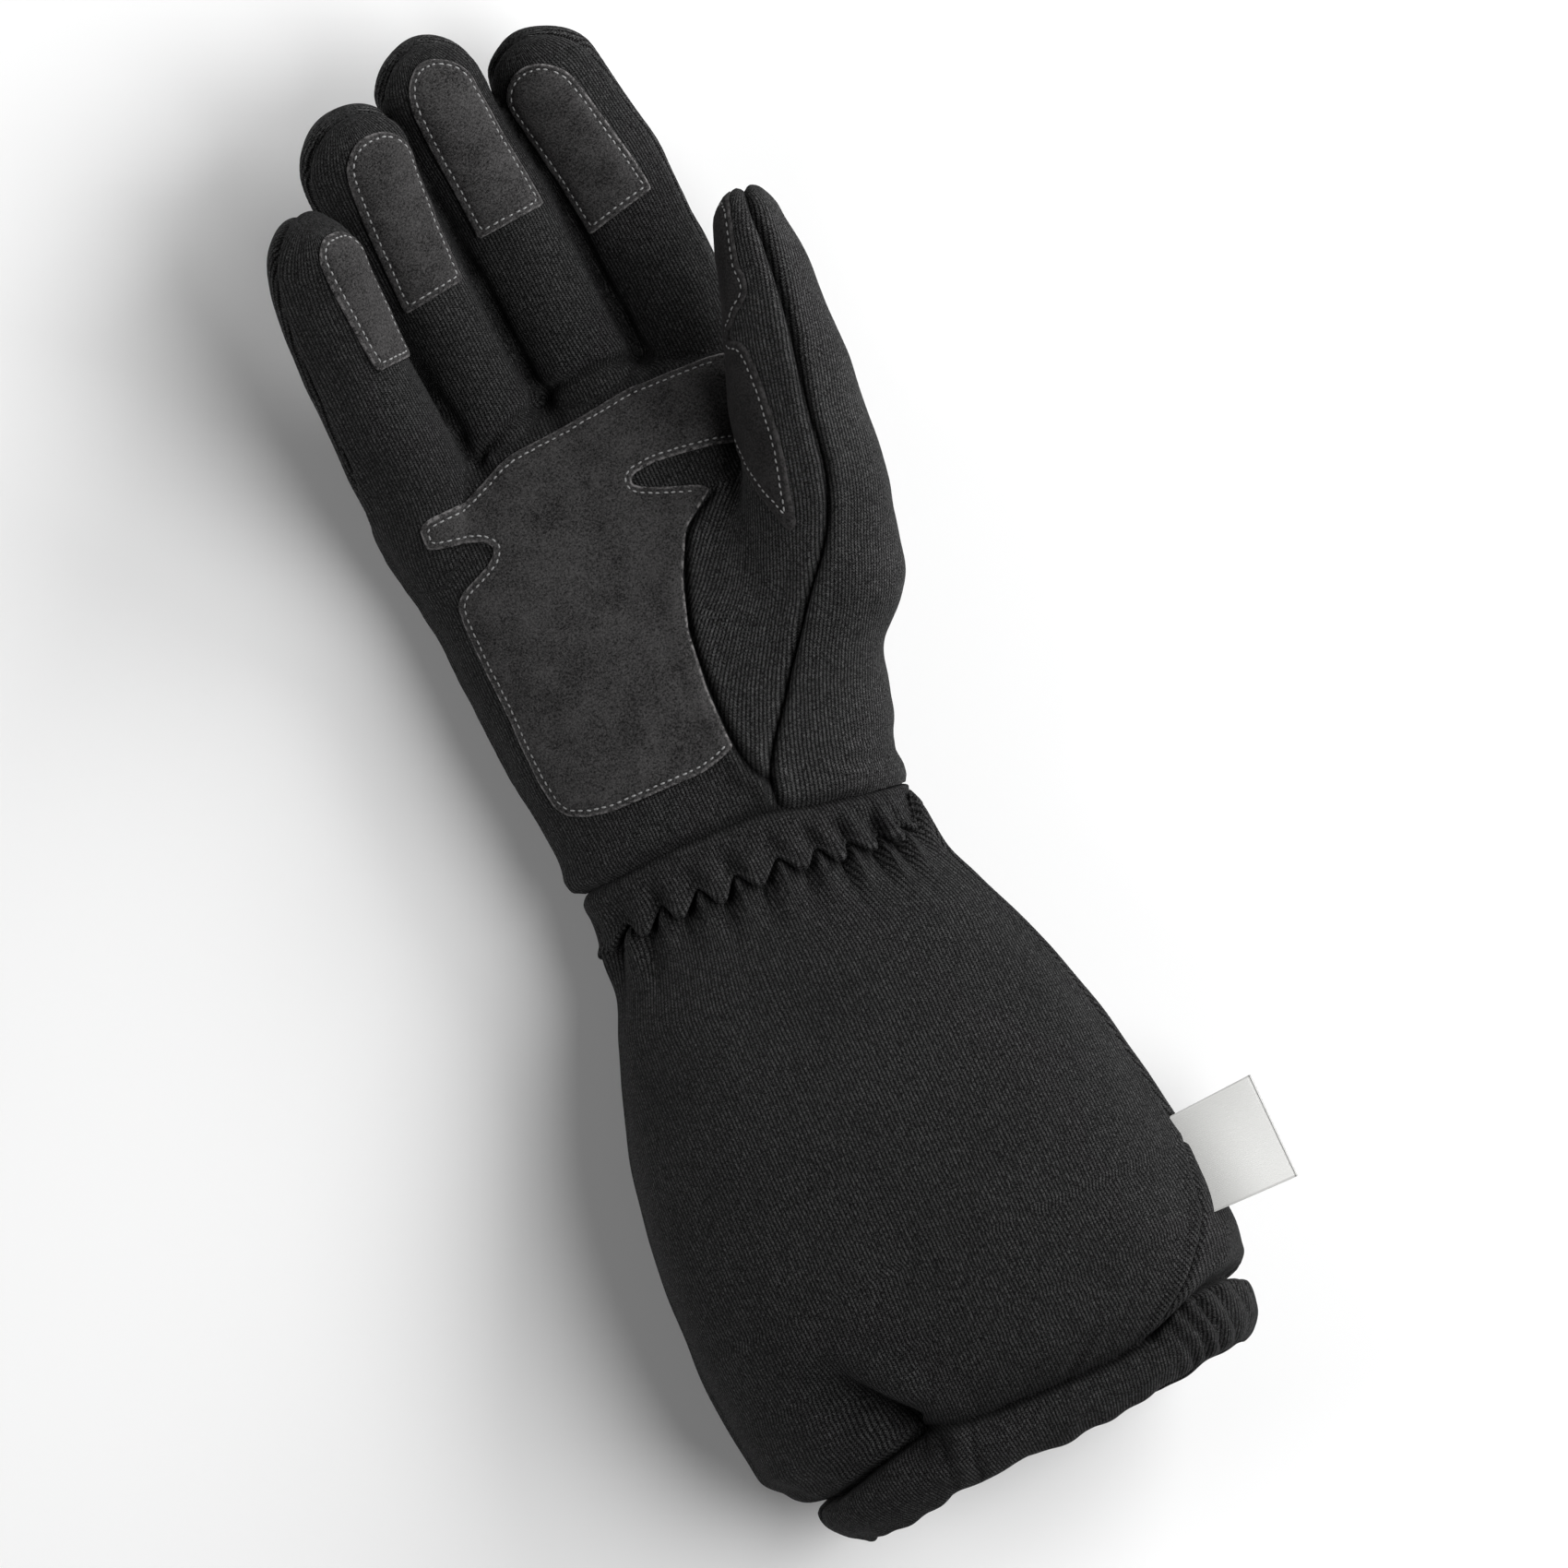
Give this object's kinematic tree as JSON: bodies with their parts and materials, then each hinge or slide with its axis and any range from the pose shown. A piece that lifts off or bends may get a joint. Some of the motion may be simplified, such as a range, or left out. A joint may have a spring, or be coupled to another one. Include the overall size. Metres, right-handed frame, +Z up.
{
  "type": "racing glove",
  "caption": "Right-hand racing glove with a long padded gauntlet, gathered wrist and hem, and suede grip patches on palm, fingers and thumb",
  "frame": {"origin": "middle of the underside's bounding box, on the surface that the glove lies on", "axes": "+X towards the thumb side, +Y towards the fingertips, +Z up out of the palm"},
  "size_m": [0.1586, 0.3944, 0.0783],
  "materials": {
    "knit": "black double-knit cloth, matt",
    "suede": "dark grey suede, matt nap",
    "satin": "white woven satin tape"
  },
  "bodies": {
    "root": {"palm_panel": "knit", "back_panel": "knit", "thumb_panel": "knit", "wrist_band": "knit", "gauntlet_front": "knit", "gauntlet_back": "knit", "hem": "knit", "palm_patch": "suede", "little_patch": "suede", "ring_patch": "suede", "middle_patch": "suede", "index_patch": "suede", "thumb_patch": "suede", "label": "satin"}
  },
  "joints": []
}
